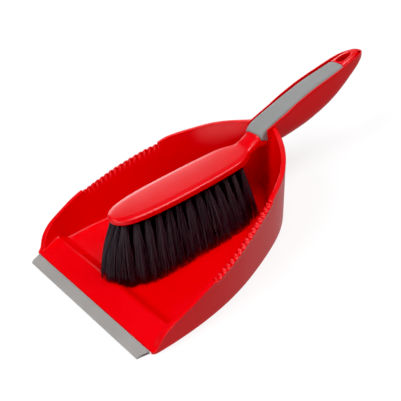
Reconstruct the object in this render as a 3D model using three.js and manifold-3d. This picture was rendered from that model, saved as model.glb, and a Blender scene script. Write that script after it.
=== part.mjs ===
// Hand dustpan with a rubber lip and a clip-in brush.
// Millimetres, +Z up, X across the mouth, +Y from the lip towards the handles.
// Inside this file the lip's front edge is y = 0; the exported group is shifted
// so that its origin is the centre of the footprint, on the floor.
import * as THREE from 'three';
import { mergeVertices } from 'three/addons/utils/BufferGeometryUtils.js';
import Module from 'manifold-3d';

const wasm = await Module();
wasm.setup();

// ---------------------------------------------------------------- dimensions
const LIP_FRONT_HALF = 99.8;     // half of the lip's front edge
const LIP_REAR_HALF = 103.6;     // half of the lip's rear edge
const LIP_DEPTH = 12.3;          // lip, front to rear
const LIP_THICK = 3.2;           // lip thickness at its rear
const LIP_EDGE = 0.9;            // lip thickness at its front edge
const TONGUE = { front: 5.4, low: 1.0, high: 2.0, half: 98 };  // pan edge inside the lip
const GAP = 0.3;                 // gap kept between touching pieces
const FLOOR_TOP = 2.4;           // main floor, upper face
const FLOOR_FRONT_TOP = 3.2;     // floor where it meets the lip
const RIDGE_TOP = 10.6;          // ramp's ridge
const RIDGE_Y = 39;              // ramp's ridge, from the lip's front edge
const RIDGE_FOOT_Y = 47.5;       // foot of the step behind the ridge
const SHEET = 2.2;               // moulded wall
const FLOOR_SHEET = 2.4;         // moulded floor
const WALL_DRAFT = 0.155;        // outward lean of the walls, mm per mm
const FLANGE = 5.2;              // width of the turned rim
const SKIRT = 2.0;               // outer wall, which runs down to the floor the pan stands on
const FLANGE_DROP = 2.1;         // depth of the turned rim
const FRONT_Y = 12.6;            // front edge of the floor
const TEETH_FROM = 0.350, TEETH_TO = 0.606, TEETH = 16, TOOTH_H = 3.0;
const CHANNEL_WALL = 1.4;        // pan handle's sheet
const CHANNEL_START_Y = 256;     // pan handle meets the rear wall
const CHANNEL_END_Y = 417.5;     // tip of the pan handle
const PASS_Y = 246;              // the handle passage starts inside the pan
const BRUSH_TIP_Y = 413;         // tip of the brush handle
const GRIP_FROM = 249, GRIP_TO = 378, GRIP_SKIN = 2.2;
const HOLE_FROM = 380.5, HOLE_TO = 404, HOLE_HALF = 5.6;
const TUFT_ROWS = [-0.78, -0.27, 0.27, 0.78];  // fractions of the block's half-width
const TUFT_COLS = 13, TUFT_R = 2.2, TUFT_HOLE_DEPTH = 6;
const TUFT_Y0 = 68, TUFT_Y1 = 210;   // first and last column of tufts in the block
const SPREAD_Y0 = 45.5, SPREAD_Y1 = 203.5; // first and last column at the bristle tips

// half outline of the pan at the floor: [share of the way round, x, y]
const OUTLINE = [[0, 108.0, 12.6], [0.04, 108.5, 15.9], [0.08, 109.2, 20.7], [0.12, 109.9, 26.9], [0.16, 110.7, 34.5],
  [0.2, 111.2, 43.3], [0.24, 111.6, 53.4], [0.28, 111.7, 64.5], [0.32, 111.3, 76.6], [0.36, 110.3, 89.6],
  [0.4, 108.5, 103.3], [0.44, 105.7, 117.5], [0.48, 101.9, 132.2], [0.52, 97.2, 147.0], [0.56, 92.0, 161.6],
  [0.6, 86.4, 175.7], [0.64, 80.3, 189.2], [0.68, 73.4, 201.7], [0.72, 65.4, 213.1], [0.76, 56.1, 223.4],
  [0.8, 46.0, 232.4], [0.84, 35.6, 240.3], [0.88, 25.3, 247.0], [0.92, 15.6, 252.2], [0.96, 7.4, 255.4], [1, 0, 256.4]];
// height of the rim above the floor, by share of the way round
const RIM = [[0.046, 4.6], [0.066, 7.3], [0.08, 10.1], [0.094, 12.9], [0.11, 15.8], [0.125, 18.0], [0.145, 20.7],
  [0.165, 23.1], [0.191, 25.7], [0.215, 27.7], [0.265, 32.1], [0.298, 35.4], [0.33, 38.2], [0.352, 39.8], [0.396, 43.2],
  [0.428, 45.9], [0.465, 49.4], [0.5, 52.4], [0.535, 55.5], [0.567, 58.0], [0.598, 59.8], [0.612, 60.6],
  [0.632, 62.9], [0.662, 64.4], [0.711, 66.0], [0.742, 67.6], [0.784, 69.7], [0.83, 70.9], [0.868, 71.4],
  [0.903, 72.1], [0.941, 73.6], [1, 75.4]];
// how far the floor's edge stands in from the outline, by y
const FLOOR_INSET = [[12, 5.5], [20, 7.5], [50, 9.5], [70, 11], [98, 14], [150, 16], [230, 17], [262, 12]];

// pan handle (an upturned boat-shaped channel): [y, half-width, top z, bottom z]
const CHANNEL = [[256, 15.7, 75.2, 52.4], [261.5, 15.7, 76.2, 51.0], [270, 15.7, 78.2, 50.0], [284, 15.7, 81.4, 49.6], [297, 15.6, 84.6, 49.8],
  [312, 15.6, 87.4, 50.6], [329, 15.6, 89.9, 53.0], [345, 15.5, 91.4, 56.2], [360, 15.2, 92.5, 60.6],
  [374, 14.5, 93.9, 66.2], [387, 13.5, 95.1, 72.4], [398, 12.2, 95.6, 78.2], [407, 10.2, 95.6, 83.6],
  [412.5, 7.9, 95.5, 87.6], [415.6, 5.6, 95.4, 90.4], [417.5, 2.6, 95.2, 92.6]];
// brush handle, outer skin: [y, half-width, top z, bottom z]
const HANDLE = [[218, 15.2, 63.2, 55.2], [222, 14.2, 63.4, 54.6], [227.5, 12.6, 64.1, 54.0], [233, 12.2, 66.1, 54.0], [237, 12.0, 67.6, 54.4],
  [241, 12.0, 69.2, 54.9], [245, 12.4, 71.4, 55.1], [250, 12.8, 75.0, 55.3], [255, 13.1, 77.1, 55.2], [261, 13.2, 78.5, 55.0],
  [268, 13.2, 80.1, 55.2], [278, 13.2, 82.0, 55.4], [295, 13.15, 85.2, 56.0], [312, 13.0, 88.2, 57.0], [329, 12.8, 90.6, 59.2],
  [345, 12.6, 92.1, 62.2], [360, 12.5, 93.3, 66.4], [374, 11.9, 94.5, 71.8], [386, 11.1, 95.8, 77.4], [396, 9.9, 96.7, 82.4],
  [404, 8.2, 97.0, 86.6], [409, 6.1, 97.0, 89.8], [413, 2.4, 96.6, 93.2]];
// brush block at its lower edge: [y, half-width]; the upper edge stands in by 1.6
const BLOCK = [[58.4, 2.5], [60.2, 7.6], [63.4, 11.9], [68.5, 15.8], [76, 18.9], [90, 21.7], [110, 23.4], [135, 24.0],
  [160, 24.1], [180, 23.6], [196, 22.8], [206, 22.0], [213, 20.3], [218, 18.2], [222, 15.9], [226, 13.6], [229, 11.0]];
const BLOCK_TOP = [[58, 72.4], [80, 71.3], [128, 68.2], [177, 65.0], [200, 63.8], [229, 63.2]];   // z of the upper edge
const BLOCK_LOW = [[58, 65.8], [80, 64.4], [128, 60.9], [177, 57.4], [200, 56.0], [229, 54.4]];   // z of the lower face
const CROWN = 0.6;               // rise of the block's top along its middle
// half-width of the bristles at their tips, by y
const SPREAD = [[40, 26], [50, 29], [62, 33], [80, 37.5], [100, 39.5], [125, 41.5], [146, 43.5], [168, 45], [188, 43.5], [205, 38.5]];

const RED = 0xe00a0e, GREY = 0x8f9493, LIP_GREY = 0xa3a09e, BLACK = 0x17131a;

// ------------------------------------------------------------------- helpers
function table(rows, col = 1, key = 0) {
  // monotone cubic through the rows
  const x = rows.map(r => r[key]), y = rows.map(r => r[col]), n = x.length;
  const d = [], m = new Array(n);
  for (let i = 0; i < n - 1; i++) d.push((y[i + 1] - y[i]) / (x[i + 1] - x[i]));
  m[0] = d[0]; m[n - 1] = d[n - 2];
  for (let i = 1; i < n - 1; i++) m[i] = d[i - 1] * d[i] <= 0 ? 0 : 2 * d[i - 1] * d[i] / (d[i - 1] + d[i]);
  return t => {
    if (t <= x[0]) return y[0];
    if (t >= x[n - 1]) return y[n - 1];
    let i = 0; while (t > x[i + 1]) i++;
    const h = x[i + 1] - x[i], s = (t - x[i]) / h, s2 = s * s, s3 = s2 * s;
    return (2 * s3 - 3 * s2 + 1) * y[i] + (s3 - 2 * s2 + s) * h * m[i] + (-2 * s3 + 3 * s2) * y[i + 1] + (s3 - s2) * h * m[i + 1];
  };
}
const clamp = (v, a, b) => Math.min(b, Math.max(a, v));
const smooth = (a, b, v) => { const t = clamp((v - a) / (b - a), 0, 1); return t * t * (3 - 2 * t); };

function geometry(points, faces) {
  const g = new THREE.BufferGeometry();
  g.setAttribute('position', new THREE.Float32BufferAttribute(points.flat(), 3));
  g.setIndex(faces.flat());
  return g;
}
function closed(g) {
  g.deleteAttribute('normal'); g.deleteAttribute('uv');
  const m = mergeVertices(g, 1e-4);
  const idx = Array.from(m.index.array), keep = [];
  for (let i = 0; i < idx.length; i += 3) {
    const [a, b, c] = [idx[i], idx[i + 1], idx[i + 2]];
    if (a !== b && b !== c && a !== c) keep.push(a, b, c);
  }
  m.setIndex(keep);
  return m;
}
function solid(g) {
  const m = closed(g);
  return new wasm.Manifold(new wasm.Mesh({
    numProp: 3, vertProperties: new Float32Array(m.attributes.position.array), triVerts: new Uint32Array(m.index.array),
  }));
}
function back(man) {
  const mesh = man.getMesh(), g = new THREE.BufferGeometry(), v = mesh.vertProperties, n = mesh.numProp, p = [];
  for (let i = 0; i < v.length / n; i++) p.push(v[i * n], v[i * n + 1], v[i * n + 2]);
  g.setAttribute('position', new THREE.Float32BufferAttribute(p, 3));
  g.setIndex(Array.from(mesh.triVerts));
  return g;
}
// closed loft through rings of equal length, each ring counter-clockwise seen against the loft's direction
function loft(rings) {
  const n = rings[0].length, pts = rings.flat(), f = [];
  for (let i = 0; i < rings.length - 1; i++) for (let j = 0; j < n; j++) {
    const a = i * n + j, b = i * n + (j + 1) % n, c = a + n, d = b + n;
    f.push([a, c, b], [b, c, d]);
  }
  const mid = r => r.reduce((s, p) => [s[0] + p[0] / n, s[1] + p[1] / n, s[2] + p[2] / n], [0, 0, 0]);
  const s = pts.length; pts.push(mid(rings[0]), mid(rings[rings.length - 1]));
  const o = (rings.length - 1) * n;
  for (let j = 0; j < n; j++) { f.push([s, j, (j + 1) % n]); f.push([s + 1, o + (j + 1) % n, o + j]); }
  const g = geometry(pts, f), m = solid(g);
  return m.volume() < 0 ? solid(geometry(pts, f.map(([a, b, c]) => [a, c, b]))) : m;
}
function box(x0, x1, y0, y1, z0, z1) {
  const g = new THREE.BoxGeometry(x1 - x0, y1 - y0, z1 - z0);
  g.translate((x0 + x1) / 2, (y0 + y1) / 2, (z0 + z1) / 2);
  return solid(g);
}

// ------------------------------------------------------------------ pan shell
const ox = table(OUTLINE, 1), oy = table(OUTLINE, 2), rim = table(RIM), inset = table(FLOOR_INSET);
const T0 = 0.046;
function normal(u) {
  const e = 1e-3, a = Math.max(0, u - e), b = Math.min(1, u + e);
  if (u > 0.999) return [0, 1];
  const dx = ox(b) - ox(a), dy = oy(b) - oy(a), l = Math.hypot(dx, dy);
  return [dy / l, -dx / l];
}
function floorTop(y) {
  if (y <= RIDGE_Y) return FLOOR_FRONT_TOP + (RIDGE_TOP - FLOOR_FRONT_TOP) * clamp((y - FRONT_Y) / (RIDGE_Y - FRONT_Y), 0, 1);
  return RIDGE_TOP + (FLOOR_TOP - RIDGE_TOP) * clamp((y - RIDGE_Y) / (RIDGE_FOOT_Y - RIDGE_Y), 0, 1);
}
const rimAt = u => rim(u) - (u > TEETH_FROM && u < TEETH_TO ? TOOTH_H : 0);
const at = (u, off, z) => { const [nx, ny] = normal(u); return [Math.max(0, ox(u) + nx * off), oy(u) + ny * off, z]; };
const us = [T0, 0.063, 0.079, 0.094, 0.12, 0.145, 0.162];
for (const y of [RIDGE_Y, 43.2, RIDGE_FOOT_Y]) {
  let a = 0.1, b = 0.5;
  for (let k = 0; k < 40; k++) { const m = (a + b) / 2; if (at(m, -inset(oy(m)), 0)[1] < y) a = m; else b = m; }
  us.push((a + b) / 2);
}
us.push(0.25, 0.298, TEETH_FROM - 0.0005, TEETH_FROM + 0.0005, 0.4, 0.45, 0.5, 0.55, TEETH_TO - 0.0005, TEETH_TO + 0.0005, 0.632,
  0.68, 0.72, 0.76, 0.8, 0.84, 0.88, 0.92, 0.96, 1);
const S = [1, 0.66, 0.33, 0.13];     // heights up the wall at which it is stepped
const FLOOR_X = [0.72, 0.36];        // floor columns between its edge and the middle
const upper = [], lower = [];
for (const u of us) {
  const h = rimAt(u), lean = WALL_DRAFT * h, ft = at(u, -inset(oy(u)), 0), first = u === T0;
  const yf = first ? FRONT_Y : ft[1], zf = floorTop(yf), up = [], lo = [];
  const ins = inset(oy(u)), wall = z => -ins + (lean - FLANGE + ins) * clamp((z - zf) / Math.max(h - zf, 0.3), 0, 1);
  up.push(at(u, lean, h));
  up.push(at(u, lean - FLANGE, h - 0.15));
  for (const s of S) {
    const z = zf + (h - 1.0 - zf) * s;
    const off = s === 1 ? lean - FLANGE - 0.1 : wall(z) - 1.6 * (1 - s) ** 6;
    up.push(at(u, off, Math.max(z, zf + 0.02)));
  }
  const edge = [Math.min(ft[0], first ? 101 : 1e9), yf, zf];
  up.push(edge);
  for (const q of FLOOR_X) up.push([edge[0] * q, yf, zf]);
  up.push([0, yf, zf]);
  const low = Math.max(0, zf - FLOOR_SHEET), zc = Math.max(h - FLANGE_DROP - 0.9, low + 0.4), outer = z => lean * z / h;
  lo.push(at(u, outer(Math.max(h - FLANGE_DROP, 1.9)), Math.max(h - FLANGE_DROP, 1.9)));
  lo.push(at(u, 0, 0), at(u, -SKIRT, 0), at(u, outer(zc) - SKIRT, zc), at(u, wall(zc) + SHEET, zc));
  const zm = low + (zc - low) * 0.3, e2 = at(u, -ins + 0.8, 0);
  lo.push(at(u, wall(zm) + SHEET, zm));
  if (first) { for (const q of lo.slice(2)) q[1] = Math.max(q[1], FRONT_Y); e2[0] = 103; e2[1] = FRONT_Y; }
  lo.push([e2[0], e2[1], low]);
  for (const q of FLOOR_X) lo.push([edge[0] * q, yf, low]);
  lo.push([0, yf, low]);
  upper.push(up); lower.push(lo);
}
function shellGeometry() {
  const half = upper[0].length, cols = 2 * half - 1, rows = us.length;
  const mirror = r => r.concat(r.slice(0, -1).reverse().map(([x, y, z]) => [-x, y, z]));
  const U = upper.map(mirror), L = lower.map(mirror), pts = [...U.flat(), ...L.flat()], f = [];
  const a = (i, j) => i * cols + j, b = (i, j) => rows * cols + i * cols + j;
  for (let i = 0; i < rows - 1; i++) for (let j = 0; j < cols - 1; j++) {
    f.push([a(i, j), a(i + 1, j), a(i, j + 1)], [a(i, j + 1), a(i + 1, j), a(i + 1, j + 1)]);
    f.push([b(i, j), b(i, j + 1), b(i + 1, j)], [b(i, j + 1), b(i + 1, j + 1), b(i + 1, j)]);
  }
  for (let j = 0; j < cols - 1; j++) f.push([a(0, j), a(0, j + 1), b(0, j)], [a(0, j + 1), b(0, j + 1), b(0, j)]);
  for (let i = 0; i < rows - 1; i++) {
    f.push([a(i, 0), b(i, 0), a(i + 1, 0)], [b(i, 0), b(i + 1, 0), a(i + 1, 0)]);
    const k = cols - 1;
    f.push([a(i, k), a(i + 1, k), b(i, k)], [b(i, k), a(i + 1, k), b(i + 1, k)]);
  }
  return geometry(pts, f);
}
// the two halves of a mirrored ring fold on to each other at the rear, so the sheet closes on itself there
let shell = solid(shellGeometry());
if (shell.volume() < 0) {
  const g = shellGeometry(), i = g.index.array;
  for (let k = 0; k < i.length; k += 3) [i[k], i[k + 1]] = [i[k + 1], i[k]];
  shell = solid(g);
}

// comb teeth across the rim
for (const side of [1, -1]) for (let k = 0; k < TEETH; k++) {
  const u = TEETH_FROM + (TEETH_TO - TEETH_FROM) * (k + 0.5) / TEETH, du = (TEETH_TO - TEETH_FROM) / TEETH * 0.42;
  const tooth = [-0.3, -FLANGE + 0.4].map(o => {
    const h = rim(u), base = h - TOOTH_H - 0.6, q = WALL_DRAFT * h;
    return [[...at(u - du, q + o, base)], [...at(u + du, q + o, base)], [...at(u + du * 0.25, q + o, h)], [...at(u - du * 0.25, q + o, h)]]
      .map(([x, y, z]) => [side * x, y, z]);
  });
  shell = shell.add(loft(tooth));
}
// tongue that the lip is pushed on to
shell = shell.add(box(-TONGUE.half, TONGUE.half, TONGUE.front, FRONT_Y + 1.2, TONGUE.low, TONGUE.high));

// ----------------------------------------------------------------- pan handle
function channelRing(y, w, top, bottom, n = 9) {
  // U section, open side up: down one side, round the bottom, up the other
  const ring = [[w, y, top]], d = Math.min(top - bottom, 34), r = Math.min(w, d * 0.62);
  for (let k = 0; k < n; k++) {
    const t = Math.PI * k / (n - 1), c = Math.cos(t), s = Math.sin(t), e = 0.72;
    ring.push([w * 0.985 * Math.sign(c) * Math.abs(c) ** e, y, bottom + r * (1 - s ** e)]);
  }
  ring.push([-w, y, top]);
  return ring;
}
const cw = table(CHANNEL, 1), ct = table(CHANNEL, 2), cb = table(CHANNEL, 3);
const cys = CHANNEL.map(r => r[0]);
let channel = loft(cys.map(y => channelRing(y, cw(y), ct(y), cb(y))));
const iys = [PASS_Y, ...cys.filter(y => y < 413)].concat([414.2]);
const inner = loft(iys.map(y => {
  const yy = Math.max(y, CHANNEL_START_Y), w = Math.max(cw(yy) - CHANNEL_WALL, 1.2);
  return channelRing(y, w, 130, cb(yy) + CHANNEL_WALL + 0.2);
}));
const pan = shell.add(channel).subtract(inner);

// ------------------------------------------------------------------ rubber lip
const lipShape = new THREE.Shape();
lipShape.moveTo(0, 0); lipShape.lineTo(LIP_DEPTH, 0); lipShape.lineTo(LIP_DEPTH, TONGUE.low - GAP);
lipShape.lineTo(TONGUE.front - GAP, TONGUE.low - GAP); lipShape.lineTo(TONGUE.front - GAP, TONGUE.high + GAP);
lipShape.lineTo(LIP_DEPTH, TONGUE.high + GAP); lipShape.lineTo(LIP_DEPTH, LIP_THICK);
lipShape.lineTo(2.4, 2.6); lipShape.lineTo(0, LIP_EDGE); lipShape.closePath();
const lipBar = new THREE.ExtrudeGeometry(lipShape, { depth: 2 * LIP_REAR_HALF, bevelEnabled: false });
lipBar.applyMatrix4(new THREE.Matrix4().set(0, 0, 1, -LIP_REAR_HALF, 1, 0, 0, 0, 0, 1, 0, 0, 0, 0, 0, 1));
let lip = solid(lipBar);
for (const s of [1, -1]) {
  const cut = new THREE.Shape();
  cut.moveTo(s * LIP_FRONT_HALF, -1); cut.lineTo(s * (LIP_REAR_HALF + 0.4), LIP_DEPTH + 1);
  cut.lineTo(s * 120, LIP_DEPTH + 1); cut.lineTo(s * 120, -1); cut.closePath();
  const g = new THREE.ExtrudeGeometry(cut, { depth: 12, bevelEnabled: false }); g.translate(0, 0, -4);
  lip = lip.subtract(solid(g));
}

// ------------------------------------------------------------ brush: handle skin
const hw = table(HANDLE, 1), ht = table(HANDLE, 2), hb = table(HANDLE, 3);
function handleRing(y, grow, n = 18) {
  const w = Math.max(hw(y) + grow, 0.8), top = ht(y) + grow, low = hb(y) - grow, c = (top + low) / 2, h = Math.max((top - low) / 2, 0.8), ring = [];
  for (let k = 0; k < n; k++) {
    const t = 2 * Math.PI * (k + 0.5) / n, cc = Math.cos(t), ss = Math.sin(t), e = 0.62;
    ring.push([w * Math.sign(cc) * Math.abs(cc) ** e, y, c + h * Math.sign(ss) * Math.abs(ss) ** e]);
  }
  return ring;
}
const hys = HANDLE.map(r => r[0]);
const skinYs = hys.filter(y => y >= GRIP_FROM && y < GRIP_TO).concat([GRIP_TO]);
// the core is inset under the grip
const coreInset = y => y < GRIP_FROM || y > GRIP_TO + 0.5 ? 0 : GRIP_SKIN * smooth(GRIP_FROM - 0.5, GRIP_FROM + 9, y);
const coreYs = [...new Set([...hys, GRIP_TO + 0.3, GRIP_TO + 0.31])].sort((a, b) => a - b);
const coreRings = (extra) => coreYs.map(y => {
  if (y === GRIP_TO + 0.3) return handleRing(y, -GRIP_SKIN + extra);
  if (y === GRIP_TO + 0.31) return handleRing(y, extra);
  return handleRing(y, -coreInset(y) + extra);
});
const core = loft(coreRings(0));
const blocker = loft(coreYs.filter(y => y <= GRIP_TO + 0.3 && y >= 241).concat([GRIP_TO + 4]).sort((a, b) => a - b)
  .map(y => y > GRIP_TO + 1 ? handleRing(y, -GRIP_SKIN + GAP) : handleRing(y, -(y <= GRIP_TO + 0.3 && y >= GRIP_FROM ? (y === GRIP_TO + 0.3 ? GRIP_SKIN : coreInset(y)) : 0) + GAP)));
let grip = loft(skinYs.map(y => handleRing(y, 0))).subtract(blocker);
// the grip wraps the whole neck at its front and covers the upper part further back
const under = new THREE.Shape();
under.moveTo(272, 40); under.lineTo(272, 64); under.lineTo(300, 70); under.lineTo(340, 77); under.lineTo(379, 84.5);
under.lineTo(385, 40); under.closePath();
const underG = new THREE.ExtrudeGeometry(under, { depth: 60, bevelEnabled: false });
underG.applyMatrix4(new THREE.Matrix4().set(0, 0, 1, -30, 1, 0, 0, 0, 0, 1, 0, 0, 0, 0, 0, 1));
grip = grip.subtract(solid(underG));

// ------------------------------------------------------------------ brush block
const bw = table(BLOCK), bt = table(BLOCK_TOP), bl = table(BLOCK_LOW);
function blockRing(y) {
  const w = bw(y), t = bt(y), l = bl(y), e = 1.6 * clamp(w / 8, 0.3, 1), ring = [];
  ring.push([-w + 0.6, y, l], [0, y, l], [w - 0.6, y, l], [w, y, l + 1.2], [w, y, t - 2.6], [w - e * 0.5, y, t - 0.8], [w - e * 1.6, y, t + 0.1],
    [w * 0.55, y, t + CROWN * 0.62], [0, y, t + CROWN], [-w * 0.55, y, t + CROWN * 0.62], [-w + e * 1.6, y, t + 0.1], [-w + e * 0.5, y, t - 0.8], [-w, y, t - 2.6], [-w, y, l + 1.2]);
  return ring;
}
let brush = loft(BLOCK.map(r => blockRing(r[0]))).add(core);
// hanging hole, straight through
const hole = [];
for (let k = 0; k < 16; k++) {
  const t = 2 * Math.PI * k / 16, L = (HOLE_TO - HOLE_FROM) / 2, q = Math.cos(t);
  hole.push([HOLE_HALF * (1 - 0.22 * q) * Math.sin(t), (HOLE_FROM + HOLE_TO) / 2 + L * q, 0]);
}
brush = brush.subtract(loft([hole.map(([x, y]) => [x, y, 60]), hole.map(([x, y]) => [x, y, 110])]));

// ----------------------------------------------------------------------- tufts
const spread = table(SPREAD);
const tuftSpecs = [];
for (let c = 0; c < TUFT_COLS; c++) for (let r = 0; r < TUFT_ROWS.length; r++) {
  const s = c / (TUFT_COLS - 1), y = TUFT_Y0 + (TUFT_Y1 - TUFT_Y0) * s, ty = SPREAD_Y0 + (SPREAD_Y1 - SPREAD_Y0) * s;
  const half = Math.min(bw(y) - 3.6, 19), x = half * TUFT_ROWS[r];
  const wide = spread(ty), band = wide / 2, tx = (r - 1.5) * band;
  tuftSpecs.push({ c, r, x, y, tx, ty, hx: band / 2 - 0.35, hy: (SPREAD_Y1 - SPREAD_Y0) / (TUFT_COLS - 1) / 2 - 0.35 });
}
function rounded(cx, cy, hx, hy, z, n = 8) {
  const ring = [];
  for (let k = 0; k < n; k++) {
    const t = 2 * Math.PI * (k + 0.5) / n;
    ring.push([cx + hx * Math.cos(t) / Math.cos(Math.PI / n), cy + hy * Math.sin(t) / Math.cos(Math.PI / n), z]);
  }
  return ring;
}
function tipZ(y) {        // bristle tips rest just clear of the pan's floor
  return floorTop(y) + 0.7;
}
const tuftSolids = [];
for (const t of tuftSpecs) {
  const low = bl(t.y), top = low + TUFT_HOLE_DEPTH;
  brush = brush.subtract(loft([rounded(t.x, t.y, TUFT_R, TUFT_R, low - 3), rounded(t.x, t.y, TUFT_R, TUFT_R, top)]));
  const mid = 0.5, mx = t.x + (t.tx - t.x) * 0.42, my = t.y + (t.ty - t.y) * 0.42, a = TUFT_R - GAP;
  const foot = rounded(t.tx, t.ty, t.hx * 0.924, t.hy * 0.924, 0).map(([x, y]) => [x, y, tipZ(y)]);
  const high = Math.max(...foot.map(p => p[2]));
  const ridge = foot.some(p => p[1] < RIDGE_Y) && foot.some(p => p[1] > RIDGE_Y);
  const end = foot.map(([x, y, z]) => [x, y, ridge ? RIDGE_TOP + 0.7 : z]);
  const neck = rounded(t.x, t.y, a, a, low - 0.6), belly = rounded(mx, my, a + (t.hx - a) * 0.45, a + (t.hy - a) * 0.45, low + (high - low) * mid);
  tuftSolids.push({ name: `tuft_${String(t.c + 1).padStart(2, '0')}_${'abcd'[t.r]}`, m: loft([rounded(t.x, t.y, a, a, top - GAP), neck, belly, end]) });
}

// --------------------------------------------------------------------- assembly
const group = new THREE.Group();
const placed = new THREE.Group();
placed.position.set(0, -CHANNEL_END_Y / 2, 0);
group.add(placed);
function piece(name, man, color, roughness) {
  const mesh = new THREE.Mesh(back(man), new THREE.MeshStandardMaterial({ color, roughness, metalness: 0 }));
  mesh.name = name;
  placed.add(mesh);
}
piece('dustpan', pan, RED, 0.35);
piece('rubber_lip', lip, LIP_GREY, 0.6);
piece('brush_block', brush, RED, 0.32);
piece('soft_grip', grip, GREY, 0.7);
for (const t of tuftSolids) piece(t.name, t.m, BLACK, 0.6);

export default group;
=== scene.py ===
"""Hand dustpan with a rubber lip, carrying its brush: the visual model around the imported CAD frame."""
import math

import bmesh
import bpy
import numpy as np
from mathutils import Matrix, Vector


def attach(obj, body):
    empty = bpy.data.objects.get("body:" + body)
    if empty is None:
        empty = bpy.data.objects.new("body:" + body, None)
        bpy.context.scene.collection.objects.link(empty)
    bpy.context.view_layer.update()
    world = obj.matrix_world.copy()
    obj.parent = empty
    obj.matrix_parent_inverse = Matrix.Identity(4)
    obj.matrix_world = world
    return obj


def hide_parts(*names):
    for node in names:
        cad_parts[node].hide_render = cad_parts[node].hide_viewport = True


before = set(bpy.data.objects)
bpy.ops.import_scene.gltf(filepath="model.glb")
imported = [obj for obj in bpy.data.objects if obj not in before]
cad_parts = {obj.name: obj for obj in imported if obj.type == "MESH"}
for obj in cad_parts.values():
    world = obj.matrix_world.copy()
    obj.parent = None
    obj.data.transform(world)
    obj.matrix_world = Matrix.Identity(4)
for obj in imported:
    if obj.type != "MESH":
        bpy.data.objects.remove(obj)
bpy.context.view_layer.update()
MM = 0.001
SHIFT_Y = -208.75          # the tables below count y from the lip's front edge, in millimetres

# ------------------------------------------------------------------ dimensions
LIP_FRONT_HALF, LIP_REAR_HALF, LIP_DEPTH, LIP_THICK, LIP_EDGE = 99.8, 103.6, 12.3, 3.2, 0.9
TONGUE_FRONT, TONGUE_LOW, TONGUE_HIGH, TONGUE_HALF = 5.4, 1.0, 2.0, 98.0
FLOOR_TOP, FLOOR_FRONT_TOP, RIDGE_TOP, RIDGE_Y, RIDGE_FOOT_Y = 2.4, 3.2, 10.6, 39.0, 47.5
SHEET, SKIRT, FLOOR_SHEET, WALL_DRAFT, FLANGE, FLANGE_SHEET = 2.1, 1.9, 2.4, 0.155, 5.2, 3.0
FRONT_Y, T0 = 12.6, 0.0
TEETH_FROM, TEETH_TO, TEETH, TOOTH_H = 0.350, 0.606, 16, 3.0
CHANNEL_WALL, PASS_Y = 1.6, 249.0
GRIP_FROM, GRIP_TO, GRIP_SKIN = 245.0, 378.0, 2.2
HOLE_FROM, HOLE_TO, HOLE_HALF = 380.5, 403.2, 5.2
TUFT_ROWS = (-0.78, -0.27, 0.27, 0.78)
TUFT_COLS, TUFT_Y0, TUFT_Y1, SPREAD_Y0, SPREAD_Y1, TUFT_R = 13, 68.0, 210.0, 42.0, 205.0, 2.2
CROWN = 0.35

OUTLINE = [[0, 108.0, 12.6], [0.04, 108.5, 15.9], [0.08, 109.2, 20.7], [0.12, 109.9, 26.9], [0.16, 110.7, 34.5],
           [0.2, 111.2, 43.3], [0.24, 111.6, 53.4], [0.28, 111.7, 64.5], [0.32, 111.3, 76.6], [0.36, 110.3, 89.6],
           [0.4, 108.5, 103.3], [0.44, 105.7, 117.5], [0.48, 101.9, 132.2], [0.52, 97.2, 147.0], [0.56, 92.0, 161.6],
           [0.6, 86.4, 175.7], [0.64, 80.3, 189.2], [0.68, 73.4, 201.7], [0.72, 65.4, 213.1], [0.76, 56.1, 223.4],
           [0.8, 46.0, 232.4], [0.84, 35.6, 240.3], [0.88, 25.3, 247.0], [0.92, 15.6, 252.2], [0.96, 7.4, 255.4], [1, 0, 256.4]]
RIM = [[0, 3.5], [0.03, 3.9], [0.05, 4.9], [0.066, 7.3], [0.08, 10.1], [0.094, 12.9], [0.11, 15.8], [0.125, 18.0], [0.145, 20.7],
       [0.165, 23.1], [0.191, 25.7], [0.215, 27.7], [0.265, 32.1], [0.298, 35.4], [0.33, 38.2], [0.352, 39.8], [0.396, 43.2],
       [0.428, 45.9], [0.465, 49.4], [0.5, 52.4], [0.535, 55.5], [0.567, 58.0], [0.598, 59.8], [0.612, 60.6],
       [0.632, 62.9], [0.662, 64.4], [0.711, 66.0], [0.742, 67.6], [0.784, 69.7], [0.83, 70.9], [0.868, 71.4],
       [0.903, 72.1], [0.941, 73.6], [1, 75.4]]
FLOOR_INSET = [[12, 5.5], [20, 7.5], [50, 9.5], [70, 11], [98, 14], [150, 16], [230, 17], [262, 12]]
CHANNEL = [[256, 15.7, 75.2, 52.4], [261.5, 15.7, 76.2, 51.0], [270, 15.7, 78.2, 50.0], [284, 15.7, 81.4, 49.6], [297, 15.6, 84.6, 49.8],
           [312, 15.6, 87.4, 50.6], [329, 15.6, 89.9, 53.0], [345, 15.5, 91.4, 56.2], [360, 15.2, 92.5, 60.6],
           [374, 14.5, 93.9, 66.2], [387, 13.5, 95.1, 72.4], [398, 12.2, 95.6, 78.2], [407, 10.2, 95.6, 83.6],
           [412.5, 7.9, 95.5, 87.6], [415.6, 5.6, 95.4, 90.4], [417, 3.4, 95.3, 92.4], [417.5, 0.9, 95.2, 94.0]]
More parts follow.
